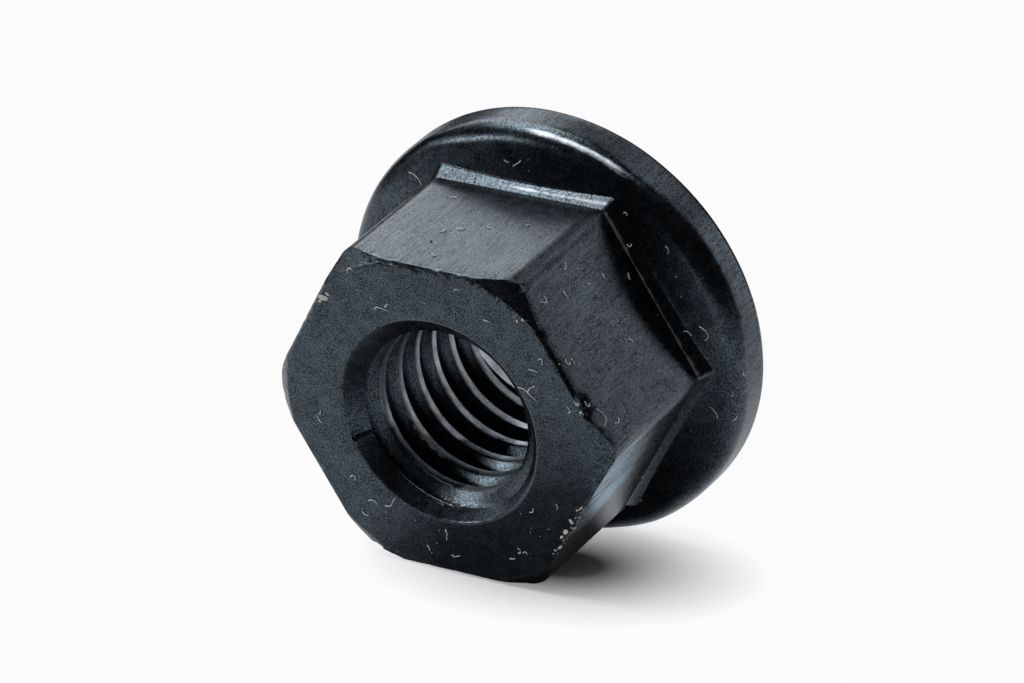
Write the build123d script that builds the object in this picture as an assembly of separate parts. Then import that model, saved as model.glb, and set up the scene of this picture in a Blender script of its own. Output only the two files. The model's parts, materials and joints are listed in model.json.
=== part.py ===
"""Serrated hexagon flange nut with a metric coarse thread, forged in one piece.

The nut stands on its serrated bearing face. The origin is the middle of that face and +Z runs
along the thread to the hexagon's end face. The fine thread itself is a surface detail: the
solid has the plain hole that it is tapped in, countersunk at the end face and with a short
plain recess, wider than the thread, at the bearing face. Millimetres.
"""

import os
from math import atan2, cos, pi, radians, sin, sqrt, tan

from build123d import *

# ---- driving dimensions ------------------------------------------------------------------

# thread
thread_diameter = 8.0  # nominal
thread_pitch = 1.25
minor_diameter_in_pitches = 1.0825  # the hole is smaller than nominal by this many pitches

# hexagon
across_flats = 13.0
hexagon_height = 7.25  # from the flange's upper face, at the flats, to the end face
corner_round = 0.9
end_circle_margin = 0.17  # radius of the end face over that of the flats
end_chamfer_angle = 38.0  # from the end face

# foot of the hexagon: a sloping shoulder on the flange, and the neck that the flats have above it
foot_height = 0.4  # of the shoulder, above the flange
foot_proud = 0.14  # how far the shoulder stands out of the flat where it meets the flange
foot_corner_round = 0.2
neck_depth = 0.1  # how far the flats draw in, down to the shoulder
neck_height = 0.8

# flange
flange_thickness = 2.55  # at the flats
flange_reach = 1.19  # past the hexagon's sharp corners
flange_slope = 13.0  # fall of the upper face outwards
rim_round_above = 0.9
rim_round_below = 0.7

# hole
mouth_margin = 0.25  # radius of the countersink at the end face over that of the thread
countersink_angle = 90.0
recess_margin = 0.15  # radius of the recess at the bearing face over that of the thread
recess_depth = 1.3
recess_chamfer = 0.25  # round the recess's edge, at 45 degrees

# serrations of the bearing face: ratchet teeth that let the nut turn clockwise only
serration_count = 30
serration_depth = 0.26  # at the outer end
serration_land_share = 0.16  # of the pitch, left level on the bearing plane
serration_lock_angle = 12.0  # of the locking flank, from upright
serration_inner_margin = 0.6  # plain ring between the recess's chamfer and the teeth
serration_outer_margin = 0.15  # plain ring between the teeth and the rim's round
serration_runout_angle = 45.0  # of the grooves' closed ends

# ---- worked out from them ----------------------------------------------------------------

flat_radius = across_flats / 2
vertex_radius = flat_radius / cos(pi / 6)
end_circle_radius = flat_radius + end_circle_margin
flange_radius = vertex_radius + flange_reach
nut_height = flange_thickness + hexagon_height
shoulder_top = flange_thickness + foot_height

hole_radius = (thread_diameter - minor_diameter_in_pitches * thread_pitch) / 2
mouth_radius = thread_diameter / 2 + mouth_margin
countersink_depth = (mouth_radius - hole_radius) / tan(radians(countersink_angle / 2))
recess_radius = thread_diameter / 2 + recess_margin

serration_pitch = 2 * pi / serration_count
serration_inner_radius = recess_radius + recess_chamfer + serration_inner_margin
serration_outer_radius = flange_radius - rim_round_below - serration_outer_margin

CLEAR = 1.0  # how far a cutting tool runs past the faces that it cuts


# ---- shapes ------------------------------------------------------------------------------


def turned(*outline):
    """Solid of revolution about Z of an outline in radius and height."""
    return revolve(Plane.XZ * make_face(Polyline(*outline, close=True)), Axis.Z)


def hexagon(proud, round_radius):
    """Hexagon with rounded corners, one of them on +X, its flats moved out by proud."""
    outline = RegularPolygon(flat_radius + proud, 6, major_radius=False)
    return fillet(outline.vertices(), round_radius)


def make_flange():
    """Turned disc: sloping upper face, a broad round over its rim and a small one under it."""
    rim_height = flange_thickness - (flange_radius - flat_radius) * tan(radians(flange_slope))
    section = make_face(
        Polyline(
            (0, 0),
            (flange_radius, 0),
            (flange_radius, rim_height),
            (flat_radius, flange_thickness),
            (0, flange_thickness),
            close=True,
        )
    )
    for height, radius in ((0, rim_round_below), (rim_height, rim_round_above)):
        rim_corner = section.vertices().sort_by_distance((flange_radius, height))[0]
        section = fillet(rim_corner, radius)
    return revolve(Plane.XZ * section, Axis.Z)


def make_hexagon():
    """The hexagon above its foot's shoulder, necked there and chamfered at the end face."""
    bar = Pos(0, 0, shoulder_top) * extrude(hexagon(0, corner_round), nut_height - shoulder_top)
    bar = bar - make_neck()
    drop = (vertex_radius - end_circle_radius) * tan(radians(end_chamfer_angle))
    return bar & turned(
        (0, 0),
        (vertex_radius, 0),
        (vertex_radius, nut_height - drop),
        (end_circle_radius, nut_height),
        (0, nut_height),
    )


def make_neck():
    """Tool for the hollow that draws the flats in towards the foot, swept round the hexagon."""
    neck_radius = (neck_height**2 + neck_depth**2) / (2 * neck_depth)
    half_depth = neck_radius - sqrt(neck_radius**2 - (neck_height / 2) ** 2)
    outside = corner_round / 2
    # drawn in radius and height on the middle of the flat that faces +Y
    outline = Polyline(
        (-neck_depth, shoulder_top), (outside, shoulder_top),
        (outside, shoulder_top + neck_height), (0, shoulder_top + neck_height),
    ) + ThreePointArc(
        (0, shoulder_top + neck_height),
        (-half_depth, shoulder_top + neck_height / 2),
        (-neck_depth, shoulder_top),
    )
    on_flat = Plane(origin=(0, flat_radius, 0), x_dir=(0, 1, 0), z_dir=(1, 0, 0))
    return sweep(on_flat * make_face(outline), path=hexagon(0, corner_round).wire())


def make_foot():
    """The shoulder round the hexagon's foot, which slopes out from the neck onto the flange."""
    meeting_height = flange_thickness - foot_proud * tan(radians(flange_slope))
    flare = (foot_proud + neck_depth) / (shoulder_top - meeting_height)
    base_height = flange_thickness / 2  # the slope runs on down into the flange
    base_proud = foot_proud + flare * (meeting_height - base_height)
    return loft(
        [
            Pos(0, 0, base_height) * hexagon(base_proud, foot_corner_round),
            Pos(0, 0, shoulder_top) * hexagon(-neck_depth, foot_corner_round),
        ],
        ruled=True,
    )


def make_hole():
    """Tool for the tapping hole, recessed at the bearing face and countersunk at the end face."""
    countersink_reach = mouth_radius + CLEAR * tan(radians(countersink_angle / 2))
    return turned(
        (0, -CLEAR),
        (recess_radius + recess_chamfer + CLEAR, -CLEAR),
        (recess_radius, recess_chamfer),
        (recess_radius, recess_depth),
        (hole_radius, recess_depth),
        (hole_radius, nut_height - countersink_depth),
        (countersink_reach, nut_height + CLEAR),
        (0, nut_height + CLEAR),
    )


def make_serrations():
    """Tools for the ratchet grooves between the teeth, one for each.

    Both flanks of a groove lie in planes through the origin, so that it deepens outwards. The
    steep one faces the way that the nut would turn to come loose.
    """
    far = flange_radius + CLEAR
    far_depth = serration_depth * far / serration_outer_radius
    land_angle = serration_pitch * serration_land_share
    lock_angle = atan2(far_depth * tan(radians(serration_lock_angle)), far)

    def spoke_end(angle, height):
        return (far * cos(angle), far * sin(angle), height)

    middle = (0, 0, 0)
    tip = spoke_end(land_angle, 0)
    root = spoke_end(land_angle + lock_angle, far_depth)
    next_tip = spoke_end(serration_pitch, 0)
    below = spoke_end((land_angle + serration_pitch) / 2, -far_depth)
    wedge_faces = [
        (middle, tip, root),
        (middle, root, next_tip),
        (middle, next_tip, below),
        (middle, below, tip),
        (tip, root, next_tip),
        (tip, next_tip, below),
    ]
    wedge = Solid(Shell([make_face(Polyline(*corners, close=True)) for corners in wedge_faces]))

    # the ring that the grooves keep to, with sloping ends
    runout = CLEAR / tan(radians(serration_runout_angle))
    ring = turned(
        (serration_inner_radius - runout, -CLEAR),
        (serration_outer_radius + runout, -CLEAR),
        (serration_outer_radius - runout, CLEAR),
        (serration_inner_radius + runout, CLEAR),
    )
    groove = wedge & ring
    return [Rot(0, 0, number * 360 / serration_count) * groove for number in range(serration_count)]


# ---- the nut -----------------------------------------------------------------------------

nut = make_flange() + make_hexagon() + make_foot()
nut = nut - make_hole()
nut = nut - make_serrations()

os.makedirs("parts", exist_ok=True)
export_step(nut, "parts/flange_nut.step")
print("solids", len(nut.solids()), "valid", nut.is_valid, "volume", round(nut.volume, 2))
print("size", nut.bounding_box().size)
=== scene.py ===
# %% [markdown]
# # A serrated flange nut, black and oiled
#
# The object is one forged piece of steel: a hexagon for the spanner, a round flange that grows
# out of its foot, a tapped hole through both and ratchet teeth under the flange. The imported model
# gives its true sizes. Here the same nut is made again as a fine mesh, because what the eye looks
# for on so plain a thing is small: the softened edges, the run-out of the thread, the little
# waves of the forging and the dust on it.

# %% Load the frame
import json
import random
from math import atan2, cos, pi, radians, sin, sqrt, tan

import bmesh
import bpy
from mathutils import Matrix, Vector, noise
from mathutils.bvhtree import BVHTree


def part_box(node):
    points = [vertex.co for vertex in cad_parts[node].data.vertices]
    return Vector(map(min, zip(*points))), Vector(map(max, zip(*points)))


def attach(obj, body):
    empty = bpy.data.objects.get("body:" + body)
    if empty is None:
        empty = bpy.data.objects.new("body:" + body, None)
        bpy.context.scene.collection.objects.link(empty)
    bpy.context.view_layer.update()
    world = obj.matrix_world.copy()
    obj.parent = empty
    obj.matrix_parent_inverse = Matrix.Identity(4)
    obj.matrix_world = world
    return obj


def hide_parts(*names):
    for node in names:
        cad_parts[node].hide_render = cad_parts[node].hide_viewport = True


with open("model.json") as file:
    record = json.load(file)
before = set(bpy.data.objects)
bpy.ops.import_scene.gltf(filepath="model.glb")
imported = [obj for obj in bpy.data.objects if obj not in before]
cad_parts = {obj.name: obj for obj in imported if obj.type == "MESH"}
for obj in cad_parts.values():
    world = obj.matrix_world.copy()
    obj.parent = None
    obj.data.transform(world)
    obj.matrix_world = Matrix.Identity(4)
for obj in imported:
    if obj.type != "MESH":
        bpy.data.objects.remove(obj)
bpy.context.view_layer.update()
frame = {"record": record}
nut_low, nut_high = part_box("flange_nut")
MM = 0.001  # the meshes are made in millimetres and brought to metres at the end
WELD = 1e-4  # mm, closer than this two vertices are one
print("packed nut", [round(side / MM, 2) for side in nut_high - nut_low], "mm")

# %% [markdown]
# ## The drawing
#
# The overall sizes and the hole come from the frame. The others are the nut's own drawing: a
# hexagon 13 mm across its flats, with corners that the die did not quite fill, chamfered at the
# end face, and a foot that flares out in a small ledge where it meets the flange.

# %% Sizes
mounts = {mount["name"]: mount for mount in frame["record"]["mounts"]}
nut_height = nut_high.z / MM
flange_radius = nut_high.x / MM
minor_radius = mounts["thread"]["dims"]["r_mm"]

flat_radius = 6.5
corner_round = 0.9
soft_corner_round = 1.9  # one corner, at 0 degrees, that the die filled less than the others
end_circle_radius = 6.67
end_chamfer_slope = tan(radians(38))
end_break = 0.14  # the edge that is left where the chamfer does not reach

flange_thickness = 2.55
flange_slope = tan(radians(13))
rim_height = flange_thickness - (flange_radius - flat_radius) * flange_slope
rim_round_above = 0.9
rim_round_below = 0.7

foot_proud = 0.14  # of the shoulder round the hexagon's foot, where it meets the flange
foot_neck = 0.1  # how far the flats draw in just above it
foot_height = 0.4  # of the shoulder, above the flange
shoulder_top = flange_thickness + foot_height
foot_corner_round = 0.2
neck_height = 0.8
neck_rows = 5

mouth_radius = 4.25
recess_radius = 4.15  # the plain recess at the bearing face, wider than the thread
recess_depth = 1.3
core_radius = 2.6  # the blank's own hole, which the tap then opens up

teeth = 30
teeth_inner_radius = 5.0
teeth_outer_radius = 7.846
tooth_depth = 0.26
tooth_pitch = 2 * pi / teeth  # in radians, as the next two angles are
land_angle = 0.16 * tooth_pitch  # of the level strip between two grooves
lock_slope = tan(radians(12))  # how far the steep flank leans out of the upright
lock_angle = atan2(tooth_depth * lock_slope, teeth_outer_radius)
print("rim", round(2 * flange_radius, 2), "across, hole", round(2 * minor_radius, 3), "mm")

# %% [markdown]
# ## A section at every angle
#
# A nut blank is a turned shape, and only two things on it depend on the angle: the hexagon and
# the teeth. So the blank is spun from one section, and then every column of its vertices is
# pressed onto the section that the nut has at that angle, as a die presses the hot blank. The
# section is a chain of corners, each with its own round, and always has as many points.

# %% Rounded chains
longest_cut = 0.45  # the most of a side that a round may take up


def round_ends(spots, corners, number):
    """Where the round at a corner begins and ends, and half of the turn that it makes."""
    here = spots[number]
    radius, in_round = corners[number][2:4]
    if not in_round:
        return here, here, 0
    back = spots[number - 1] - here
    ahead = spots[number + 1] - here
    half_turn = (pi - back.angle(ahead)) / 2
    reach = min(radius * tan(half_turn), longest_cut * back.length, longest_cut * ahead.length)
    return here + back.normalized() * reach, here + ahead.normalized() * reach, half_turn


def rounded_chain(corners):
    """Points along a chain of (r, z, round, points in the round, points to the next corner)."""
    spots = [Vector(corner[:2]) for corner in corners]
    ends = [round_ends(spots, corners, number) for number in range(len(spots))]
    chain = []
    for number, (_, _, _, in_round, to_next) in enumerate(corners):
        here = spots[number]
        enter, leave, half_turn = ends[number]
        if not in_round:
            chain.append(here.copy())
        for step in range(in_round):
            # an arc as a weighted curve through its two ends
            share = step / (in_round - 1)
            weight = cos(half_turn)
            bottom = (1 - share) ** 2 + 2 * weight * share * (1 - share) + share**2
            point = enter * (1 - share) ** 2 + leave * share**2
            point += here * 2 * weight * share * (1 - share)
            chain.append(point / bottom)
        for step in range(to_next):
            chain.append(leave.lerp(ends[number + 1][0], (step + 1) / (to_next + 1)))
    return chain


# %% [markdown]
# The hexagon's radius at an angle is the flat's line, or the corner's arc near a corner. The
# corners lie at 0, 60, 120 degrees and so on.

# %% The hexagon at an angle
def hexagon_radius(angle, proud, round_radius):
    """Distance from the axis to the rounded hexagon whose flats are moved out by proud."""
    off_corner = abs((angle + pi / 6) % (pi / 3) - pi / 6)
    flat = flat_radius + proud
    arc_centre = (flat - round_radius) / cos(pi / 6)
    tangent = atan2(round_radius / 2, arc_centre + round_radius * cos(pi / 6))
    if off_corner > tangent:
        return flat / cos(pi / 6 - off_corner)
    off_arc = arc_centre * sin(off_corner)
    return arc_centre * cos(off_corner) + sqrt(round_radius**2 - off_arc**2)


# %% The section at an angle
def section(angle):
    """The nut's section in radius and height, from the axis below round to the axis above.

    Each entry is a named corner and its (radius, height, round, points in it, points after it).
    """
    cone_depth = mouth_radius - core_radius
    side_round = soft_corner_round if cos(angle) > cos(pi / 6) else corner_round
    side = hexagon_radius(angle, 0, side_round)
    foot_above = hexagon_radius(angle, -foot_neck, foot_corner_round)
    foot_below = hexagon_radius(angle, foot_proud, foot_corner_round)
    foot_bottom = flange_thickness - (foot_below - flat_radius) * flange_slope
    end_radius = min(end_circle_radius, side - end_break)
    chamfer_drop = max(end_break, (side - end_radius) * end_chamfer_slope)
    corners = {
        "core below": (0, recess_depth, 0, 0, 1),
        "core edge": (core_radius, recess_depth, 0, 0, 1),
        "recess": (recess_radius, recess_depth, 0.1, 3, 2),
        "mouth below": (recess_radius, 0, 0.25, 4, 2),
        "teeth in": (teeth_inner_radius, 0, 0, 0, 0),
        "teeth from": (teeth_inner_radius + 0.2, 0, 0, 0, 5),
        "teeth to": (teeth_outer_radius - tooth_depth, 0, 0, 0, 1),
        "teeth out": (teeth_outer_radius, 0, 0, 0, 0),
        "rim below": (flange_radius, 0, rim_round_below, 8, 3),
        "rim above": (flange_radius, rim_height, rim_round_above, 14, 6),
        "foot": (foot_below, foot_bottom, 0.1, 5, 1),
        "shoulder": (foot_above, shoulder_top, 0.1, 5, 0),
    }
    for step in range(1, neck_rows):
        share = step / neck_rows
        draw = (1 - share) ** 2
        round_here = side_round + (foot_corner_round - side_round) * draw
        out = hexagon_radius(angle, -foot_neck * draw, round_here)
        corners[f"neck {step}"] = (out, shoulder_top + neck_height * share, 0, 0, 0)
    corners |= {
        "flat": (side, shoulder_top + neck_height, 0, 0, 18),
        "chamfer": (side, nut_height - chamfer_drop, 0.08, 5, 4),
        "end face": (end_radius, nut_height, 0.08, 5, 8),
        "mouth above": (mouth_radius, nut_height, 0.25, 5, 2),
        "cone above": (core_radius, nut_height - cone_depth, 0, 0, 1),
        "core above": (0, nut_height - cone_depth, 0, 0, 0),
    }
    return corners


def starts(corners):
    """The number of each named corner's first point along the chain."""
    numbers = {}
    count = 0
    for name, (_, _, _, in_round, to_next) in corners.items():
        numbers[name] = count
        count += max(1, in_round) + to_next
    return numbers, count


start, stations = starts(section(0.0))
print("a section has", stations, "points")

# %% [markdown]
# ## Spin and press
#
# Blender's spin turns the section's edges about Z through a sixth of a turn, and that sector is
# copied round five times, which makes 480 columns of vertices, 16 for each tooth. A layer on the
# vertices remembers which point of the section each one is, and the spin copies it along.

# %% Helpers for spun shapes
def draw_section(code, corners):
    """Draw a rounded chain at angle 0 and give its vertices."""
    line = [code.verts.new((radius, 0, height)) for radius, height in rounded_chain(corners)]
    for pair in zip(line, line[1:]):
        code.edges.new(pair)
    return line


def copied_vertices(code, parts):
    """Copy a part of a mesh and give the vertices of the copy."""
    copied = bmesh.ops.duplicate(code, geom=parts)["geom"]
    return [part for part in copied if isinstance(part, bmesh.types.BMVert)]


# %% Spin the blank
columns_per_tooth = 16
columns = columns_per_tooth * teeth
blank = bmesh.new()
station_layer = blank.verts.layers.int.new("station")
for number, vertex in enumerate(draw_section(blank, list(section(0.0).values()))):
    vertex[station_layer] = number
bmesh.ops.spin(
    blank,
    geom=blank.verts[:] + blank.edges[:],
    axis=(0, 0, 1),
    angle=pi / 3,
    steps=columns // 6,
)
sector = blank.verts[:] + blank.edges[:] + blank.faces[:]
for turn in range(1, 6):
    onward = Matrix.Rotation(turn * pi / 3, 3, "Z")
    bmesh.ops.rotate(blank, verts=copied_vertices(blank, sector), matrix=onward)
bmesh.ops.remove_doubles(blank, verts=blank.verts, dist=WELD)
print("spun blank", len(blank.verts), "vertices", len(blank.faces), "faces")

# %% [markdown]
# The columns crowd together at the hexagon's corners, where the shape turns quickly, and in the
# ring of teeth they move onto the teeth's own edges. In between they slide from one to the other.

# %% Where the columns stand
crowding = 0.5  # 0 leaves the columns evenly spaced, 1 brings them together at the corners
land_columns = 4  # of a tooth's columns stand on its level strip, two of them on its edges
groove_columns = columns_per_tooth - land_columns


def toward_corners(angle):
    """How far a column moves towards the nearest corner of the hexagon."""
    return -crowding / 6 * sin(6 * angle)


def toward_edges(column):
    """How far a column moves so that every tooth has one on each of its edges."""
    place = column % columns_per_tooth
    if place < land_columns:
        wanted = land_angle * place / (land_columns - 1)
    else:
        wanted = land_angle + lock_angle
        wanted += (tooth_pitch - wanted) * (place - land_columns) / groove_columns
    return wanted - tooth_pitch * place / columns_per_tooth


def ease(share):
    """Smooth step from 0 to 1."""
    share = min(max(share, 0), 1)
    return share * share * (3 - 2 * share)


def column_angle(column, station):
    """The angle at which a column crosses a point of the section."""
    angle = 2 * pi * column / columns
    on_hexagon = ease((station - start["rim above"]) / (start["foot"] - start["rim above"]))
    off_teeth = ease((station - start["rim below"]) / (start["rim above"] - start["rim below"]))
    return angle + toward_corners(angle) * on_hexagon + toward_edges(column) * (1 - off_teeth)


# %% [markdown]
# Both flanks of a tooth's groove lie in planes through the middle of the bearing face, so its
# depth at a radius is that radius times a figure for the angle. Sloping ends close the groove.

# %% The teeth at a radius and an angle
def groove_depth(radius, angle):
    """Depth of the grooves under the flange at a radius and an angle."""
    place = angle % tooth_pitch
    steep = sin(place - land_angle) / lock_slope
    ramp_share = sin(tooth_pitch - place) / sin(tooth_pitch - land_angle - lock_angle)
    gentle = ramp_share * tooth_depth / teeth_outer_radius
    ends = min(radius - teeth_inner_radius, teeth_outer_radius - radius)
    return max(0, min(radius * steep, radius * gentle, ends))


# %% Press the blank
grid = [[None] * columns for _ in range(stations)]
for vertex in blank.verts:
    station = vertex[station_layer]
    column = round(atan2(vertex.co.y, vertex.co.x) / (2 * pi) * columns) % columns
    if 0 < station < stations - 1:
        grid[station][column] = vertex
for column in range(columns):
    # the section is worked out at the place where the column stands on the hexagon
    drawn = rounded_chain(list(section(column_angle(column, stations)).values()))
    for station in range(1, stations - 1):
        angle = column_angle(column, station)
        radius, height = drawn[station]
        if start["teeth in"] <= station <= start["teeth out"]:
            height = groove_depth(radius, angle)
        grid[station][column].co = (radius * cos(angle), radius * sin(angle), height)
bmesh.ops.remove_doubles(blank, verts=blank.verts, dist=WELD)
bmesh.ops.recalc_face_normals(blank, faces=blank.faces)
print("pressed blank", len(blank.verts), "vertices, volume", round(blank.calc_volume(), 1), "mm3")

# %% [markdown]
# ## What forging and tumbling leave
#
# A hot-pressed face is never quite flat, and the nuts fall on each other in the tumbling drum.
# Every vertex is therefore sunk a little along its normal, and never raised, so that the nut
# stays within its drawing: by slow waves everywhere, by a ragged bite along the edges of the end
# chamfer, and by a few real chips. A chip is given by its angle in degrees and its height,
# radius, size and depth in millimetres.

# %% Chips
chips = {
    "tip of the top flat": (238.5, 9.3, 7.3, 0.22, 0.05),
    "top edge, left": (290.5, 9.7, 6.85, 0.2, 0.03),
    "top edge, middle": (283.0, 9.76, 6.62, 0.25, 0.03),
    "flank dent": (198.5, 9.66, 6.62, 0.36, 0.11),
    "flank dent, lower": (195.0, 9.66, 6.7, 0.22, 0.06),
    "lower edge 1": (157.5, 9.76, 6.52, 0.3, 0.08),
    "lower edge 2": (151.0, 9.78, 6.48, 0.25, 0.07),
    "lower edge 3": (145.0, 9.76, 6.55, 0.32, 0.09),
    "lower edge 4": (138.5, 9.7, 6.72, 0.25, 0.06),
    "mouth": (20.5, 9.62, 4.12, 0.26, 0.1),
    "far corner": (61.0, 9.25, 7.3, 0.3, 0.08),
    "rim": (40.0, 1.6, 8.65, 0.35, 0.05),
    "rim, other side": (332.0, 1.2, 8.69, 0.25, 0.04),
}
chip_marks = []
for turn, height, radius, size, depth in chips.values():
    angle = radians(turn)
    centre = Vector((radius * cos(angle), radius * sin(angle), height))
    chip_marks.append((centre, size, depth))
print(len(chip_marks), "chips")

# %% Sink the vertices
wave_depth = 0.010  # mm, of the slow waves of the forging
ripple_depth = 0.003
bite_depth = 0.045  # of the ragged edges of the end chamfer
ragged_points = 4  # of the section, on each side of such an edge
chip_raggedness = 0.4
chip_steepness = 1.4  # above 1 a chip has a level bottom


def ragged_share(station):
    """1 at the two edges of the end chamfer, falling off over the points beside them."""
    nearest = min(abs(station - start["chamfer"] - 2), abs(station - start["end face"] - 2))
    return max(0, 1 - nearest / ragged_points)


def sinking(point, station):
    """How far a point of the blank lies under the drawing's surface, in mm."""
    wave = wave_depth * (1 + noise.noise(point * 0.42))
    wave += ripple_depth * (1 + noise.noise(point * 1.3))
    bite = bite_depth * max(0, noise.noise(point * 3.1) + 0.5 * noise.noise(point * 7.3))
    depth = wave + bite * ragged_share(station)
    for centre, size, chip_depth in chip_marks:
        ragged = 1 + chip_raggedness * noise.noise(point * 6)
        reach = (point - centre).length * ragged / size
        depth += chip_depth * ease(chip_steepness * (1 - reach))
    return depth


blank.normal_update()
depths = {v: sinking(v.co, v[station_layer]) for v in blank.verts}
for vertex, depth in depths.items():
    vertex.co -= vertex.normal * depth
print("sunk by", round(min(depths.values()), 3), "to", round(max(depths.values()), 3), "mm")

# %% [markdown]
# ## Tap the hole
#
# A tap is a rod with the thread's own section wound up round it. One pitch of that section is
# spun with a rise for each step, which gives a helical ribbon; the turns are welded to each
# other, both ends are cut square and closed. The blank less the tap is the threaded nut, and
# the run-out where thread and countersink meet comes by itself.

# %% One pitch of the thread
thread_pitch = 1.25
major_radius = 4.0
crest_wear = 0.057  # mm, how far the crests stand back from the drawing's bore
crest_radius = minor_radius + crest_wear
flank_slope = tan(radians(30))
flank = (major_radius - crest_radius) * flank_slope
crest = thread_pitch / 8 + crest_wear * flank_slope
root = thread_pitch / 2 - crest - flank
one_pitch = [
    (crest_radius, 0, 0, 0, 0),
    (crest_radius, crest, 0.1, 4, 2),
    (major_radius, crest + flank, 0.09, 3, 0),
    (major_radius, crest + flank + 2 * root, 0.09, 3, 2),
    (crest_radius, thread_pitch - crest, 0.1, 4, 0),
    (crest_radius, thread_pitch, 0, 0, 0),
]
tap = bmesh.new()
print("one pitch has", len(draw_section(tap, one_pitch)), "points")

# %% Wind it up
steps_per_turn = 160
turns = 10
thread_start = radians(83)
thread_drop = 1.2 * thread_pitch  # the thread starts below the bearing face
overcut = 0.2  # mm, that the tap then reaches past each end of the nut
bmesh.ops.spin(
    tap,
    geom=tap.verts[:] + tap.edges[:],
    axis=(0, 0, 1),
    dvec=(0, 0, thread_pitch / steps_per_turn),
    angle=2 * pi,
    steps=steps_per_turn,
)
first_turn = tap.verts[:] + tap.edges[:] + tap.faces[:]
for turn in range(1, turns):
    rise = (0, 0, turn * thread_pitch)
    bmesh.ops.translate(tap, verts=copied_vertices(tap, first_turn), vec=rise)
bmesh.ops.remove_doubles(tap, verts=tap.verts, dist=WELD)
bmesh.ops.rotate(tap, verts=tap.verts, matrix=Matrix.Rotation(thread_start, 3, "Z"))
bmesh.ops.translate(tap, verts=tap.verts, vec=(0, 0, -thread_drop))
for height, outward in ((-overcut, (0, 0, -1)), (nut_height + overcut, (0, 0, 1))):
    bmesh.ops.bisect_plane(
        tap,
        geom=tap.verts[:] + tap.edges[:] + tap.faces[:],
        plane_co=(0, 0, height),
        plane_no=outward,
        clear_outer=True,
    )
bmesh.ops.holes_fill(tap, edges=[edge for edge in tap.edges if edge.is_boundary])
bmesh.ops.recalc_face_normals(tap, faces=tap.faces)
print("tap", len(tap.faces), "faces, open edges", sum(edge.is_boundary for edge in tap.edges),
      "volume", round(tap.calc_volume(), 1))


# %% Cut the thread
def as_object(mesh_code, name):
    """A new object from a bmesh, which is used up."""
    mesh = bpy.data.meshes.new(name)
    mesh_code.to_mesh(mesh)
    mesh_code.free()
    made = bpy.data.objects.new(name, mesh)
    bpy.context.scene.collection.objects.link(made)
    return made


def finished_mesh(thing):
    """The mesh that an object's modifiers or its curve's settings make of it."""
    return bpy.data.meshes.new_from_object(
        thing.evaluated_get(bpy.context.evaluated_depsgraph_get())
    )


nut = as_object(blank, "nut")
tap_object = as_object(tap, "tap")
cut = nut.modifiers.new("tap", "BOOLEAN")
cut.operation = "DIFFERENCE"
cut.solver = "MANIFOLD"
cut.object = tap_object
tapped = finished_mesh(nut)
nut.modifiers.clear()
nut.data = tapped
bpy.data.objects.remove(tap_object)
print("tapped nut", len(tapped.vertices), "vertices", len(tapped.polygons), "faces")

# %% [markdown]
# The cut runs on several cores and leaves the vertices and faces in a new order each time. What
# is laid on the nut later can depend on that order, so they are sorted by where they are, and
# the nut comes out the same on every run.

# %% Put them in order
def put_in_order(elements, place):
    """Sort vertices or faces by where they are."""
    ranks = {element: rank for rank, element in enumerate(sorted(elements, key=place))}
    elements.sort(key=ranks.get)
    elements.index_update()


solid = bmesh.new()
solid.from_mesh(nut.data)
put_in_order(solid.verts, lambda vertex: vertex.co[:])
put_in_order(solid.faces, lambda face: face.calc_center_median()[:])
print("in order", len(solid.verts), "vertices", len(solid.faces), "faces")

# %% [markdown]
# ## Where the steel shows
#
# The black layer is a few thousandths of a millimetre thick. Two attributes tell the material
# where steel shows, and how. The first is for flakes: it follows the angle between two faces over
# the distance across them, so it is high where an edge is sharp and stands out, and it is high in
# the chips. It is high in a patch of the countersink too, as a painted highlight. The second is
# for even steel: on the crests that the tap has ironed, on the edge of the shoulder that the die
# pressed out, and as painted light: a painted reflection on the wall of the recess and painted
# highlights along the shoulder's crease and on a stretch of the rim. On some crests near the mouth
# it is held back, which leaves them black as painted shade.

# %% Flakes
edge_flaking = 0.012  # for a bend of one radian in a mm
most_edge_flaking = 0.3
chip_flaking = 0.6
chip_reach = 1.3  # flakes come off a little past the chip's own size


def near(value, wanted, full, none):
    """1 within one distance of a wanted value, easing to 0 at another."""
    return ease((none - abs(value - wanted)) / (none - full))


def ridge_sharpness(vertex):
    """Greatest bend of the surface outwards at a vertex, in radians for each mm."""
    sharpest = 0
    for edge in vertex.link_edges:
        across = sum(face.calc_area() for face in edge.link_faces) / (2 * edge.calc_length() + WELD)
        sharpest = max(sharpest, edge.calc_face_angle_signed(0) / (across + WELD))
    return sharpest


def flakes_and_highlight(vertex, turn, from_axis):
    """How much steel shows at a vertex, from 0 to 1: flakes at edges and chips, and a painted
    highlight in the countersink.
    """
    share = min(most_edge_flaking, edge_flaking * ridge_sharpness(vertex))
    for centre, size, _ in chip_marks:
        away = chip_reach * (vertex.co - centre).length / size
        share += chip_flaking * ease(chip_reach - away)
    # painted highlight: a patch of steel flakes in the countersink, down to the first crest
    in_mouth = near(vertex.co.z, 9.1, 0.2, 0.55) * near(from_axis, 3.95, 0.2, 0.45)
    share += 0.5 * near(turn, 88, 5, 20) * in_mouth
    return min(share, 1)


# %% Worn places and painted light
# the crease and rim values are painted highlights: steel put where the nut mirrors the lamps
crest_rub, shoulder_rub, crease_painted_highlight, rim_painted_highlight = 0.8, 0.75, 0.6, 0.78
crests_from = nut_height - 0.9  # the highest that a crest reaches
# painted shade: up to this angle the crests nearest the mouth are left black
crest_painted_shade_to = 95  # degrees, where the black on the crests ends


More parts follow.
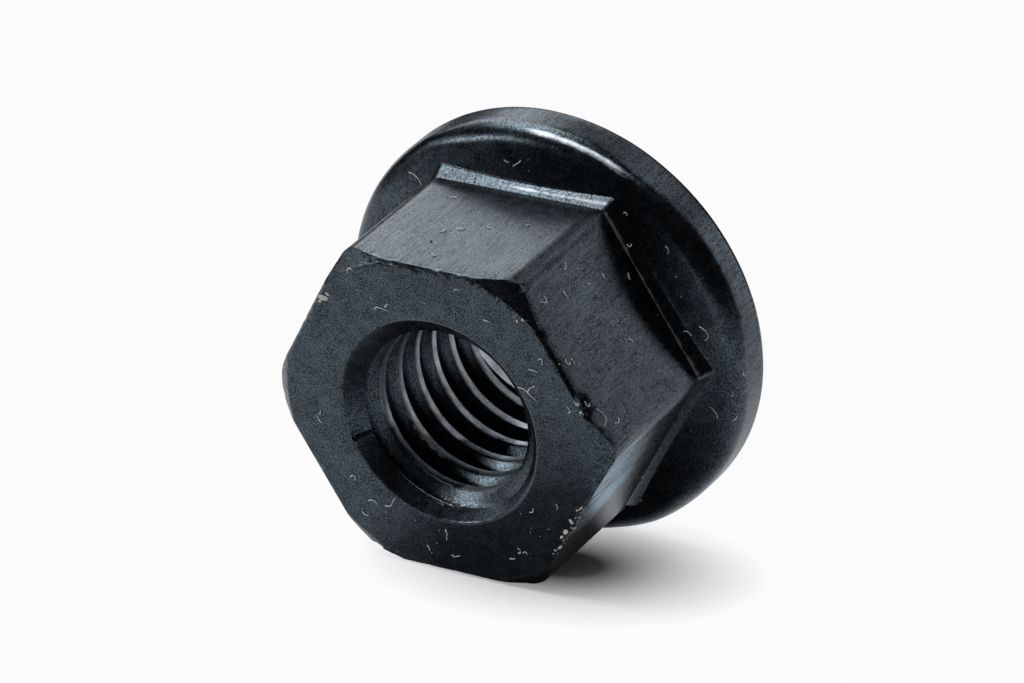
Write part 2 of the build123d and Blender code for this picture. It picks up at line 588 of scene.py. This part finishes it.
def wear_and_painted_light(turn, from_axis, height):
    """How much even steel shows at an angle, radius and height, from 0 to 1, some of it painted
    light.
    """
    share = 0
    if from_axis < crest_radius + 0.03 and height < crests_from:
        # painted shade: on one side the crests nearest the mouth are left black, not steel, more of
        # them further out, where shade falls on them
        crest_painted_shade_from = 30 + 15 * (8 - height)
        black = ease((turn - crest_painted_shade_from) / 10) * ease((crest_painted_shade_to - turn) / 10)
        share = crest_rub * (1 - black)
    # painted reflection: steel on the wall of the recess, which makes it bright
    if abs(from_axis - recess_radius) < 0.06 and height < recess_depth - 0.05:
        share = 1
    # the shoulder: steel on its rounded edge over the top flat, and a painted highlight of steel
    # along its crease beside the next flat
    proud = from_axis - hexagon_radius(radians(turn), 0, foot_corner_round)
    if abs(height - shoulder_top) < 0.45 and -0.15 < proud < 0.2:
        on_top_flat = near(turn, 265, 24, 26) * near(turn, 250, 20, 42)
        crease = near(height, shoulder_top, 0.03, 0.06) * near(turn, 210, 29, 30)
        on_edge = near(proud, 0.03, 0.04, 0.085)
        share = max(share, shoulder_rub * on_top_flat * on_edge, crease_painted_highlight * crease)
    # painted highlight: steel on a stretch of the rim, where it mirrors the lamps
    on_rim = near(from_axis, 8.53, 0.05, 0.13) * near(height, 1.87, 0.12, 0.25)
    return max(share, rim_painted_highlight * near(turn, 256, 9, 24) * on_rim)


# %% Write both on the vertices
flake_and_highlight_layer = solid.verts.layers.float.new("steel_flakes_and_highlight")
worn_and_highlight_layer = solid.verts.layers.float.new("worn_and_painted_highlights")
for vertex in solid.verts:
    from_axis = vertex.co.xy.length
    turn = (atan2(vertex.co.y, vertex.co.x) * 180 / pi) % 360
    vertex[flake_and_highlight_layer] = flakes_and_highlight(vertex, turn, from_axis)
    vertex[worn_and_highlight_layer] = wear_and_painted_light(turn, from_axis, vertex.co.z)
surface = BVHTree.FromBMesh(solid)
print("worn vertices", sum(v[flake_and_highlight_layer] > 0.5 for v in solid.verts), "worn_and_painted_highlights",
      sum(v[worn_and_highlight_layer] > 0.3 for v in solid.verts), "of", len(solid.verts))

# %% [markdown]
# The mesh is brought to metres. It is shaded smooth, except across the edges that are sharp on
# the nut as well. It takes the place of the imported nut, which stays as the solid that collides.

# %% Finish the mesh
sharp_from = radians(35)
bmesh.ops.scale(solid, vec=(MM, MM, MM), verts=solid.verts)
for face in solid.faces:
    face.smooth = True
for edge in solid.edges:
    edge.smooth = edge.calc_face_angle(0) < sharp_from
print("open edges", sum(not edge.is_manifold for edge in solid.edges))
solid.to_mesh(nut.data)
solid.free()
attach(nut, "root")
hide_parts("flange_nut")

# %% [markdown]
# ## Black oxide
#
# The finish is a thin black conversion layer with a film of oil in it: nearly black underneath,
# faintly blue, with a low gloss. What makes it look like steel and not like plastic is its grain.
# All of it is worked out from Object coordinates, in three sizes: a grain as fine as the layer's
# crystals, a mottle where the oil has drawn together, and strokes that follow the way the metal
# flowed in the die, along the flats and outwards over the rim.

# %% A small helper for nodes
class Nodes:
    """Adds nodes to the tree of a material or a world and links them as they are made."""

    def __init__(self, owner):
        owner.use_nodes = True
        self.nodes = owner.node_tree.nodes
        self.links = owner.node_tree.links

    def feed(self, node, **inputs):
        """Set a node's inputs to numbers or link them to other sockets.

        An input is called i0, i1 and so on by its place, or by its name with _ for a space.
        """
        for name, value in inputs.items():
            socket = node.inputs[int(name[1:]) if name[1:].isdigit() else name.replace("_", " ")]
            if isinstance(value, bpy.types.NodeSocket):
                self.links.new(value, socket)
            else:
                socket.default_value = value
        return node

    def add(self, kind, settings=None, **inputs):
        """A new node of a kind, with its settings and its inputs."""
        node = self.nodes.new("ShaderNode" + kind)
        for name, value in (settings or {}).items():
            setattr(node, name, value)
        return self.feed(node, **inputs)

    def math(self, operation, first, second=0.0):
        return self.add("Math", {"operation": operation}, i0=first, i1=second).outputs[0]

    def vector(self, operation, first, second=(0, 0, 0)):
        return self.add("VectorMath", {"operation": operation}, i0=first, i1=second).outputs[0]

    def measure(self, operation, first, second=(0, 0, 0)):
        """A number that comes of one or two vectors, such as a distance."""
        made = self.add("VectorMath", {"operation": operation}, i0=first, i1=second)
        return made.outputs["Value"]

    def noise(self, vector, size, detail=2.0, roughness=0.5):
        """Noise whose grains are about this many millimetres across."""
        made = self.add("TexNoise", Vector=vector, Scale=1 / (size * MM), Detail=detail,
                        Roughness=roughness)
        return made.outputs["Fac"]

    def remap(self, value, low, high, to_low=0.0, to_high=1.0):
        """Stretch a range of values to another, with nothing past its ends."""
        made = self.add("MapRange", Value=value, From_Min=low, From_Max=high, To_Min=to_low,
                        To_Max=to_high)
        return made.outputs[0]

    def swing(self, value, amount):
        """Noise about 0.5 made to swing about 0, times an amount."""
        return self.math("MULTIPLY", self.math("SUBTRACT", value, 0.5), amount)

    def total(self, first, *others):
        """The sum of several values."""
        for other in others:
            first = self.math("ADD", first, other)
        return first

    def mix(self, share, first, second):
        return self.add("Mix", Factor=share, i2=first, i3=second).outputs[0]

    def mix_colours(self, share, first, second):
        made = self.add("Mix", {"data_type": "RGBA"}, Factor=share, i6=first, i7=second)
        return made.outputs[2]


# %% Coordinates that follow the metal's flow
flow_radius = 7 * MM  # strokes are everywhere as wide as they are at this distance from the axis
flow_squeeze = 0.07  # which makes them 14 times as long as they are wide
steel = bpy.data.materials.new("black_oxide")
tree = Nodes(steel)
coordinates = tree.add("TexCoord")
here = coordinates.outputs["Object"]
around = tree.vector("MULTIPLY", here, (1, 1, 0))
axis_distance = tree.measure("LENGTH", around)
axis_height = tree.add("SeparateXYZ", i0=here).outputs["Z"]
spoke = tree.vector("NORMALIZE", around)
spoke = tree.vector("MULTIPLY", spoke, (flow_radius, flow_radius, 0))
along = tree.math("SUBTRACT", axis_height, axis_distance)
along = tree.math("MULTIPLY", along, flow_squeeze)
flow = tree.vector("ADD", spoke, tree.add("CombineXYZ", Z=along).outputs[0])
facing = tree.add("SeparateXYZ", i0=coordinates.outputs["Normal"]).outputs["Z"]
on_side = tree.remap(tree.math("ABSOLUTE", facing), 0.75, 0.35)  # not on level faces

# %% Grain, mottle and strokes
grain = tree.noise(here, 0.06, 1.0, 0.6)
mottle = tree.noise(here, 0.5, 4.0, 0.65)
blotch = tree.noise(here, 2.6, 3.0, 0.5)
strokes = tree.swing(tree.noise(flow, 0.07, 4.0, 0.65), on_side)

# %% [markdown]
# Round a spot near the end of one flank there are deeper brush marks, and steel shows along them
# as a painted reflection, which makes the flank bright. The spot is a ball, made ragged by the
# slowest noise, and it is kept to that flank by the way the surface faces.

# %% The flank's brush marks, with a painted reflection
reflecting_flank = Vector((cos(radians(150)), sin(radians(150)), 0))
# 1.2 mm along the flank from its middle and 8.1 mm up
reflection_spot = (reflecting_flank * flat_radius + Vector((-0.6, -1.04, 8.1))) * MM
from_spot = tree.measure("DISTANCE", here, reflection_spot)
from_spot = tree.math("ADD", from_spot, tree.math("MULTIPLY", blotch, 1.6 * MM))
on_flank = tree.measure("DOT_PRODUCT", coordinates.outputs["Normal"], reflecting_flank)
brush_marks_and_reflection = tree.remap(from_spot, 4.3 * MM, 2.6 * MM)
brush_marks_and_reflection = tree.math("MULTIPLY", brush_marks_and_reflection, tree.remap(on_flank, 0.85, 0.97))
brush = tree.math("SUBTRACT", tree.noise(flow, 0.24, 5.0, 0.75), 0.5)

# %% Relief and gloss
grain_height = 0.004 * MM
stroke_height = 0.006 * MM
brush_height = 0.025 * MM
mottle_height = 0.005 * MM
relief = tree.total(
    tree.swing(grain, grain_height),
    tree.math("MULTIPLY", strokes, stroke_height),
    tree.math("MULTIPLY", tree.math("MULTIPLY", brush, brush_marks_and_reflection), brush_height),
    tree.math("MULTIPLY", mottle, mottle_height),
)
bump = tree.add("Bump", Strength=1.0, Distance=1.0, Height=relief)
gloss = tree.math("ADD", tree.remap(mottle, 0.3, 0.7, 0.24, 0.3), tree.swing(blotch, 0.1))

# %% [markdown]
# The layer's crystals do not all shine alike, so the grain sets both the colour and how much
# each spot reflects; the slower mottle shifts both a little. Where the layer has gone, and where
# steel is put on as painted light, there is steel, paler and a metal.

# %% Colour, and the steel that shows
layer_dark = (0.0002, 0.0002, 0.0003, 1)
layer_light = (0.003, 0.0035, 0.004, 1)
steel_grey = (0.5, 0.52, 0.54, 1)
steel_gloss, brushed_gloss = 0.33, 0.2
sparkle = tree.total(grain, tree.swing(mottle, 0.35), tree.math("MULTIPLY", strokes, 0.6))
shade = tree.mix_colours(tree.remap(sparkle, 0.3, 0.7), layer_dark, layer_light)
shine = tree.remap(sparkle, 0.34, 0.66, 0.1, 1.0)

flake = tree.swing(tree.noise(here, 0.12, 3.0, 0.7), 1.6)
steel_flakes_and_highlight = tree.add("Attribute", {"attribute_name": "steel_flakes_and_highlight"}).outputs["Fac"]
steel_flakes_and_highlight = tree.remap(tree.math("ADD", steel_flakes_and_highlight, flake), 0.55, 0.8)
worn_and_painted_highlights = tree.add("Attribute", {"attribute_name": "worn_and_painted_highlights"}).outputs["Fac"]
worn_and_painted_highlights = tree.remap(tree.math("ADD", worn_and_painted_highlights, tree.swing(mottle, 0.8)), 0.42, 1.0)
# painted reflection: bright steel along the brush marks round the spot on the flank
steel_reflection_on_flank = tree.math("ADD", tree.math("MULTIPLY", brush, 4.5), 1.0)
steel_reflection_on_flank = tree.remap(tree.math("MULTIPLY", brush_marks_and_reflection, steel_reflection_on_flank), 0.5, 1.15)
# steel where the layer has come off in flakes or is worn, and also as painted highlights and
# painted reflections
metal = tree.math("MAXIMUM", tree.math("MAXIMUM", steel_flakes_and_highlight, worn_and_painted_highlights), steel_reflection_on_flank)
colour = tree.mix_colours(metal, shade, steel_grey)
gloss = tree.mix(steel_reflection_on_flank, tree.mix(metal, gloss, steel_gloss), brushed_gloss)

# %% The layer's shader
tree.feed(
    tree.nodes["Principled BSDF"],
    Base_Color=colour,
    Metallic=metal,
    Roughness=gloss,
    IOR=1.66,
    Specular_IOR_Level=shine,
    Specular_Tint=(0.66, 0.86, 1, 1),
    Normal=bump.outputs[0],
)
nut.data.materials.clear()
nut.data.materials.append(steel)
print("black oxide has", len(tree.nodes), "nodes")

# %% [markdown]
# ## Lint and dust
#
# A black nut shows every fibre that falls on it. They are thin curves laid on the surface, each
# from a spot, a heading, a length and how far it curls. The ones in the list lie where the eye
# goes: the end face, the top and right flats and the flange beside them. The rest are thrown
# on with a fixed seed, so that the other sides are just as dusty.

# %% Fibres that are worth placing
fibres = {
    # face: (degrees round, radius, height, heading in degrees, length, curl in radians), mm
    "end face": [
        (299, 6.6, 9.8, 20, 0.45, 3.4), (292, 4.7, 9.8, 60, 0.75, 2.2),
        (291, 5.0, 9.8, 140, 0.25, 0.4), (256, 6.0, 9.8, 10, 0.4, 5.0),
        (241, 5.5, 9.8, 95, 0.3, 0.5), (9, 5.5, 9.8, 100, 0.35, 0.8), (8, 5.4, 9.8, 170, 0.2, 0.4),
        (40, 5.2, 9.8, 200, 0.5, 3.6), (50, 5.4, 9.8, 160, 0.55, -1.8),
        (57, 5.0, 9.8, 130, 0.7, 1.2), (51, 6.0, 9.8, 60, 0.3, 1.0), (89, 5.1, 9.8, 150, 0.5, 1.9),
        (81, 5.8, 9.8, 130, 0.3, 2.6), (91, 5.7, 9.8, 80, 0.35, 2.0),
        (122, 5.8, 9.8, 30, 0.4, 4.2), (125, 6.0, 9.8, 100, 0.35, 3.0),
        (117, 5.9, 9.8, 60, 0.25, 1.0), (141, 4.8, 9.8, 40, 0.3, 2.0),
        (216, 5.9, 9.8, 20, 0.5, 4.8), (214, 5.5, 9.8, 100, 0.4, 1.2),
        (203, 4.8, 9.8, 120, 0.9, 0.9), (208, 4.6, 9.8, 30, 0.5, -0.7),
        (196, 6.0, 9.8, 10, 0.35, 3.4), (152, 5.6, 9.8, 90, 0.25, 0.3),
    ],
    "top flat": [
        (286, 6.8, 4.4, 200, 0.3, 2.8), (275, 6.5, 6.5, 40, 0.4, 2.6),
        (279, 6.6, 7.0, 110, 0.4, 1.4), (273, 6.5, 8.6, 10, 0.35, 2.8),
        (266, 6.5, 6.0, 60, 0.2, 1.0), (254, 6.7, 5.2, 300, 0.25, 2.0),
    ],
    "right flat": [
        (236, 7.2, 6.5, 80, 0.35, 0.5), (227, 6.8, 6.0, 150, 0.25, 0.6),
        (230, 6.9, 7.4, 60, 0.4, 1.6), (226, 6.8, 4.9, 20, 0.3, 0.8),
        (232, 7.0, 8.8, 130, 0.6, 4.0), (213, 6.5, 9.2, 20, 0.5, 4.4),
        (212, 6.5, 8.9, 80, 0.3, 1.6), (198, 6.6, 9.4, 60, 0.45, 3.8),
        (194, 6.7, 9.1, 121, 0.9, -1.6), (187, 7.0, 8.6, 150, 0.4, 2.4),
        (204, 6.5, 5.5, 130, 0.25, 2.0), (221, 6.6, 3.6, 20, 0.3, 2.4),
    ],
    "flange": [
        (310, 7.2, 2.4, 10, 0.9, -0.5), (274, 7.2, 2.4, 300, 0.45, 2.0),
        (277, 7.4, 2.3, 250, 0.25, 0.8), (234, 7.4, 2.3, 20, 0.3, 1.8),
        (228, 6.8, 2.8, 60, 0.3, 2.2), (218, 7.6, 2.3, 20, 0.4, 2.6),
        (190, 7.5, 2.3, 30, 0.8, 2.8), (192, 7.0, 2.4, 110, 0.4, 1.6),
        (173, 8.3, 2.1, 60, 0.25, 0.8), (165, 7.9, 2.2, 90, 0.6, 2.2),
        (165, 8.4, 2.0, 40, 0.35, 1.2), (180, 8.6, 1.8, 100, 0.3, 1.0),
    ],
    "bore": [
        (46, 4.1, 0.9, 50, 0.8, 0.7), (24, 3.9, 8.9, 70, 0.5, 0.9), (30, 3.4, 6.6, 40, 0.4, 0.8),
    ],
}
placed = [fibre for group in fibres.values() for fibre in group]
loose_fibres = 30
random.seed(8)
for _ in range(loose_fibres):
    # the sides that are turned away: the left, lower and underneath faces
    turn = random.uniform(-20, 130)
    spot = random.choice([(7.0, random.uniform(3.5, 9)), (7.6, 2.3), (random.uniform(4.5, 8), 0)])
    heading = random.uniform(0, 360)
    placed.append((turn, *spot, heading, random.uniform(0.2, 0.6), random.uniform(-4, 4)))
print(len(placed), "fibres")

# %% Find a place on the nut
level_from = 0.7  # a face whose outward direction has more Z than this counts as level


def spot_on_nut(turn, radius, height, heading):
    """The nearest point of the nut to a spot, the way out of the metal there, and a heading.

    Heading 0 is away from the axis on a level face and towards the end face on an upright one.
    """
    angle = radians(turn)
    spoke_here = Vector((cos(angle), sin(angle), 0))
    point, outward, _, _ = surface.find_nearest(spoke_here * radius + Vector((0, 0, height)))
    ahead = spoke_here if abs(outward.z) > level_from else Vector((0, 0, 1))
    ahead = (ahead - outward * ahead.dot(outward)).normalized()
    return point, outward, Matrix.Rotation(radians(heading), 3, outward) @ ahead


# %% Paint and hand over what lies on it
def paint(name, colour, roughness, metallic=0.0):
    """A plain material."""
    made = bpy.data.materials.new(name)
    tree = Nodes(made)
    tree.feed(tree.nodes["Principled BSDF"], Base_Color=(*colour, 1), Roughness=roughness,
              Metallic=metallic)
    return made


def hand_over(code, name, material):
    """Make a mesh in millimetres into an object that rides on the nut."""
    bmesh.ops.recalc_face_normals(code, faces=code.faces)
    bmesh.ops.scale(code, vec=(MM, MM, MM), verts=code.verts)
    print(name, len(code.faces), "faces, open edges", sum(not e.is_manifold for e in code.edges))
    made = as_object(code, name)
    made.data.materials.append(material)
    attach(made, "root")
    return made


# %% Lay the fibres
fibre_radius = 0.018
fibre_rest = 0.016  # mm, of its middle line above the metal
fibre_arch = 0.05  # how much higher it may stand halfway along
fibre_points = 7
fibre_wiggle = 0.5  # radians at each point, to either side
fibre_curves = bpy.data.curves.new("lint", "CURVE")
fibre_curves.dimensions = "3D"
fibre_curves.bevel_depth = fibre_radius
fibre_curves.bevel_resolution = 0
fibre_curves.resolution_u = 1
for turn, radius, height, heading, length, curl in placed:
    point, outward, ahead = spot_on_nut(turn, radius, height, heading)
    spline = fibre_curves.splines.new("NURBS")
    spline.points.add(fibre_points - 1)
    for step in range(fibre_points):
        arch = fibre_arch * sin(pi * step / (fibre_points - 1))
        lift = fibre_rest + arch * random.random()
        spline.points[step].co = (*(point + outward * lift), 1)
        spline.points[step].radius = random.uniform(0.7, 1.15)
        point, outward, _, _ = surface.find_nearest(point + ahead * length / (fibre_points - 1))
        bend = curl / fibre_points + random.uniform(-fibre_wiggle, fibre_wiggle)
        ahead = Matrix.Rotation(bend, 3, outward) @ ahead
        ahead = (ahead - outward * ahead.dot(outward)).normalized()
    spline.order_u = 3
    spline.use_endpoint_u = True
print(len(fibre_curves.splines), "curves")

# %% Close their ends
lint_curve = bpy.data.objects.new("lint_curve", fibre_curves)
bpy.context.scene.collection.objects.link(lint_curve)
lint_mesh = finished_mesh(lint_curve)
bpy.data.objects.remove(lint_curve)
lint_code = bmesh.new()
lint_code.from_mesh(lint_mesh)
bpy.data.meshes.remove(lint_mesh)
bmesh.ops.holes_fill(lint_code, edges=[edge for edge in lint_code.edges if edge.is_boundary])
hand_over(lint_code, "lint", paint("lint_white", (0.75, 0.75, 0.72), 0.9))

# %% [markdown]
# Crumbs are small rough balls pressed flat against the surface: pale dust everywhere, bigger
# crumbs in the chips along the lower edge and in a lump at one corner, one dark grain of grit
# and two tan specks.

# %% Crumbs
fine_below = 0.05  # mm, a crumb smaller than this has fewer faces
crumb_roughness = 0.45
crumb_lift = 0.6  # of its flattened height, so that it is bedded in a little


def add_crumb(code, turn, radius, height, size, flat=0.5, stretch=1.0, heading=0.0):
    """A rough ball lying on the nut, stretched along a heading."""
    point, outward, ahead = spot_on_nut(turn, radius, height, heading)
    rounds = 1 if size < fine_below else 2
    made = bmesh.ops.create_icosphere(code, subdivisions=rounds, radius=size)["verts"]
    frame_here = Matrix((ahead * stretch, outward.cross(ahead), outward * flat)).transposed()
    for vertex in made:
        rough = 1 + crumb_roughness * noise.noise(vertex.co / size * 1.7 + point * 9)
        bedded = point + outward * size * flat * crumb_lift
        vertex.co = bedded + frame_here @ (vertex.co * rough)


# %% Dust
dust_crumbs = 150
dust_code = bmesh.new()
for _ in range(dust_crumbs):
    # the end face, the flats, the flange and the bearing face
    turn = random.uniform(0, 360)
    radius, height = random.choice([
        (random.uniform(4.4, 7), 9.8), (7, random.uniform(3.2, 9)),
        (random.uniform(7, 8.6), 2.3), (random.uniform(4.6, 8), 0),
    ])
    add_crumb(dust_code, turn, radius, height, random.uniform(0.012, 0.026))
edge_crumbs = (
    # degrees round, size: along the lower edge of the end face and the two beside it
    (157, 0.06), (154, 0.045), (151.5, 0.07), (148.5, 0.05), (145.5, 0.08), (142, 0.05),
    (139, 0.07), (136, 0.04), (196, 0.05), (198.5, 0.06), (231, 0.05), (233.5, 0.045),
)
for turn, size in edge_crumbs:
    for share in (1, 0.6, 0.35):
        add_crumb(dust_code, turn + random.uniform(-1.3, 1.3), random.uniform(6.25, 6.7), 9.76,
                  size * share, 0.5, random.uniform(1, 2), random.uniform(0, 360))
for turn, heading, size in ((317, 40, 0.11), (314.5, 10, 0.05), (319, 70, 0.05)):
    add_crumb(dust_code, turn, 6.36, 9.8, size, 0.3, 1.9, heading)
hand_over(dust_code, "dust", paint("dust_pale", (0.6, 0.57, 0.5), 0.95))

# %% Grit and specks
grit_code = bmesh.new()
add_crumb(grit_code, 278, 6.56, 7.8, 0.045, 0.8)
hand_over(grit_code, "grit", paint("grit_dark", (0.004, 0.004, 0.004), 0.8))

speck_code = bmesh.new()
add_crumb(speck_code, 136, 6.8, 3.3, 0.07, 0.5)
add_crumb(speck_code, 240.5, 7.5, 2.9, 0.03)
hand_over(speck_code, "speck", paint("speck_tan", (0.5, 0.33, 0.14), 0.8))

# %% [markdown]
# The tap has torn the first full crest a little. The burr still hangs on it, in a broken row
# that climbs as the thread does.

# %% Burr
burr_height, burr_turn = 7.3, 38  # the crest is this high, in mm, at this angle in degrees
along_crest = 92  # degrees, the heading of each crumb
burr_crumbs = (
    # degrees round, size, stretch
    (-8, 0.05, 2), (-2, 0.06, 3), (5, 0.05, 3), (12, 0.06, 2.5), (20, 0.05, 2),
    (28, 0.07, 3), (37, 0.06, 2), (46, 0.08, 3), (54, 0.08, 3.5), (62, 0.07, 3),
)
burr_code = bmesh.new()
for turn, size, stretch in burr_crumbs:
    height = burr_height + thread_pitch * (turn - burr_turn) / 360
    add_crumb(burr_code, turn, crest_radius, height, size, 0.6, stretch, along_crest)
burr = hand_over(burr_code, "thread_burr", paint("bare_steel", (0.3, 0.3, 0.29), 0.5, 0.7))

# %% [markdown]
# ## The table, the camera and the light
#
# The nut lies on its side: it touches the table with the rim of its flange and with the end of
# the lowest flat. That tilts the table in the nut's own frame, and everything else in the
# studio is set up from the table's plane.

# %% The table's plane
half_turn_at_rim = radians(38.5)  # half of the turn from the flange's slope to its upright rim
rim_centre_height = rim_height - rim_round_above * tan(half_turn_at_rim)
rim_centre = Vector((flange_radius - rim_round_above, rim_centre_height))
front_edge = Vector((flat_radius, nut_height))
lean = 0.0
for _ in range(8):
    # the line that touches both turns the spot where it touches the rim, so it is found by steps
    touch = rim_centre + rim_round_above * Vector((cos(lean), sin(lean)))
    lean = atan2(touch.x - front_edge.x, front_edge.y - touch.y)
table_up = Vector((0, -cos(lean), -sin(lean)))
table_point = Vector((0, flat_radius, nut_height)) * MM
print("the nut leans by", round(lean * 180 / pi, 1), "degrees")

# %% [markdown]
# The camera looks into the mouth of the bore from a little above the table, 42 degrees off the
# nut's axis. It is a long lens a quarter of a metre away, and it hangs a few degrees askew.

# %% Camera
def stand(place, right, upward, outward):
    """A matrix that puts something at a place and gives it these three directions."""
    return Matrix.Translation(place) @ Matrix((right, upward, outward)).transposed().to_4x4()


scene = bpy.context.scene
# the way it looks, and the spot that it is aimed at, in the nut's own frame
look = Vector((0.47630, 0.46791, -0.74445))
aim = Vector((-0.25, -0.93, 4.62)) * MM
distance = 245 * MM
roll = radians(-3.5)

camera_data = bpy.data.cameras.new("camera")
camera_data.lens = 227.1
camera_data.clip_start = 0.01
camera_data.clip_end = 20
camera = bpy.data.objects.new("camera", camera_data)
scene.collection.objects.link(camera)
level = look.cross(table_up).normalized()
camera_right = Matrix.Rotation(roll, 3, look) @ level
camera_up = camera_right.cross(look)
camera.matrix_world = stand(aim - look * distance, camera_right, camera_up, -look)
scene.camera = camera
print("camera at", [round(x / MM, 1) for x in camera.location], "mm")

# %% [markdown]
# A direction in the studio is given by its azimuth and elevation, and a place on the table by how
# far it is towards the camera and to its right, from where the nut's lowest flat touches.

# %% Directions and places in the studio
front = level.cross(table_up)
front = -front if front.dot(look) > 0 else front


def studio(azimuth, elevation):
    """A direction in the studio: azimuth 0 is towards the camera, 90 to its right."""
    flat = front * cos(radians(azimuth)) + level * sin(radians(azimuth))
    return flat * cos(radians(elevation)) + table_up * sin(radians(elevation))


def on_table(nearer, right):
    """The place so many mm nearer the camera and so many to its right."""
    return table_point + studio(0, 0) * nearer * MM + studio(90, 0) * right * MM


# %% [markdown]
# The table is a round white card, set back so that only a little of it lies in front. It throws
# a soft light up into the nut's lower faces and takes its shadow.

# %% Table
card_radius = 150 * MM
card_set_back = 126 * MM
table_code = bmesh.new()
bmesh.ops.create_circle(table_code, segments=96, radius=card_radius, cap_ends=True)
table = as_object(table_code, "table")
card_centre = table_point + studio(155, 0) * card_set_back  # back, and a little to the right
table.matrix_world = stand(card_centre, level, table_up.cross(level), table_up)
print("card", 2 * card_radius, "m across")

# %% [markdown]
# The camera sees the card where the nut shades it. Further out, and from beneath, the card fades
# into the backdrop, so that no edge of it shows. Two spots are for the nut's mirrored view of the
# card alone: close in front, where the nut overhangs the card, it is made darker as painted shade,
# and under the flange it is a glowing patch, painted light that no lamp gives.

# %% Card
white = bpy.data.materials.new("white_card")
tree = Nodes(white)
paper = tree.feed(tree.nodes["Principled BSDF"], Base_Color=(0.9, 0.9, 0.905, 1), Roughness=1,
                  Specular_IOR_Level=0)
geometry = tree.add("NewGeometry")
ray = tree.add("LightPath")


def from_place(place, low, high, to_low, to_high):
    """A value that goes from one number to another between two distances in mm from a place."""
    away = tree.measure("DISTANCE", geometry.outputs["Position"], place)
    return tree.remap(away, low * MM, high * MM, to_low, to_high)


fade = from_place(on_table(-2.0, 4.2), 1.5, 8.0, 0.0, 1.0)
fade = tree.math("MAXIMUM", fade, geometry.outputs["Backfacing"])
fade = tree.math("MULTIPLY", fade, ray.outputs["Is Camera Ray"])
# painted shade: close in front the card is partly see-through to glossy rays, so the nut mirrors it
# darker
mirrored_painted_shade = from_place(on_table(2.8, 0.8), 3.0, 6.5, 0.8, 0.0)
mirrored_painted_shade = tree.math("MULTIPLY", mirrored_painted_shade, ray.outputs["Is Glossy Ray"])
# painted light: a glowing spot on the card under the flange, seen only in the nut's reflections
painted_glow_spot = from_place(on_table(-7.4, 9.6), 2.0, 4.2, 1.0, 0.0)
painted_glow_spot = tree.math("MULTIPLY", painted_glow_spot, ray.outputs["Is Glossy Ray"])
painted_glow_emission = tree.add("Emission", Color=(0.95, 0.97, 1, 1), Strength=1.0)
card = tree.add("MixShader", i0=painted_glow_spot, i1=paper.outputs[0], i2=painted_glow_emission.outputs[0])
clear = tree.add("BsdfTransparent")
card = tree.add("MixShader", i0=tree.math("MAXIMUM", fade, mirrored_painted_shade), i1=card.outputs[0],
                i2=clear.outputs[0])
tree.feed(tree.nodes["Material Output"], Surface=card.outputs[0])
table.data.materials.append(white)
print("card has", len(tree.nodes), "nodes")

# %% [markdown]
# ## The light
#
# A black thing shows its form only in what it mirrors. So the room is nearly dark, and pale only
# where the camera looks straight at it, and the lamps are set one by one: wide ones behind and
# above for the end face and the flats, small bright ones low on the left for the corner and the
# rim. The nut mirrors them, and the camera does not see them.

# %% World
room_light = 0.015
world = bpy.data.worlds.new("studio")
scene.world = world
tree = Nodes(world)
room = tree.feed(tree.nodes["Background"], Color=(1, 1, 1, 1), Strength=room_light)
backdrop = tree.add("Background", Color=(0.965, 0.965, 0.975, 1))
ray = tree.add("LightPath")
choose = tree.add("MixShader", i0=ray.outputs["Is Camera Ray"], i1=room.outputs[0],
                  i2=backdrop.outputs[0])
tree.feed(tree.nodes["World Output"], Surface=choose.outputs[0])
scene.view_settings.view_transform = "Standard"
print("world has", len(tree.nodes), "nodes")

# %% Lamps
lamp_distance = 300 * MM
lamp_colour = (0.965, 0.99, 1.03)
lamps = {
    # name: (azimuth and elevation in degrees, width and height in mm, radiance)
    "window": (230, 62, 180, 150, 4.6),
    "back_left": (205, 37, 130, 110, 2.45),
    "back_high": (180, 36, 100, 110, 1.6),
    "left_high": (286, 60, 120, 60, 11.0),
    "left_mid": (270, 13, 200, 90, 1.2),
    "left_low": (288, 11, 60, 45, 15.0),
    "right_strip": (112, 16, 50, 220, 2.0),
    "back_low": (200, 3, 90, 50, 1.5),
    "back_right": (140, 50, 190, 110, 0.6),
    "right_high": (105, 57, 130, 120, 0.7),
    "front_high": (345, 66, 150, 70, 5.0),
}
for name, (azimuth, elevation, width, height, radiance) in lamps.items():
    lamp_data = bpy.data.lights.new(name, "AREA")
    lamp_data.shape = "RECTANGLE"
    lamp_data.size = width * MM
    lamp_data.size_y = height * MM
    lamp_data.energy = radiance * pi * width * height * MM**2  # watts that give this radiance
    lamp_data.color = lamp_colour
    lamp = bpy.data.objects.new(name, lamp_data)
    scene.collection.objects.link(lamp)
    towards = studio(azimuth, elevation)
    place = table_point + towards * lamp_distance
    across = table_up.cross(towards).normalized()
    lamp.matrix_world = stand(place, across, towards.cross(across), towards)
    lamp.visible_camera = False
print(len(lamps), "lamps")
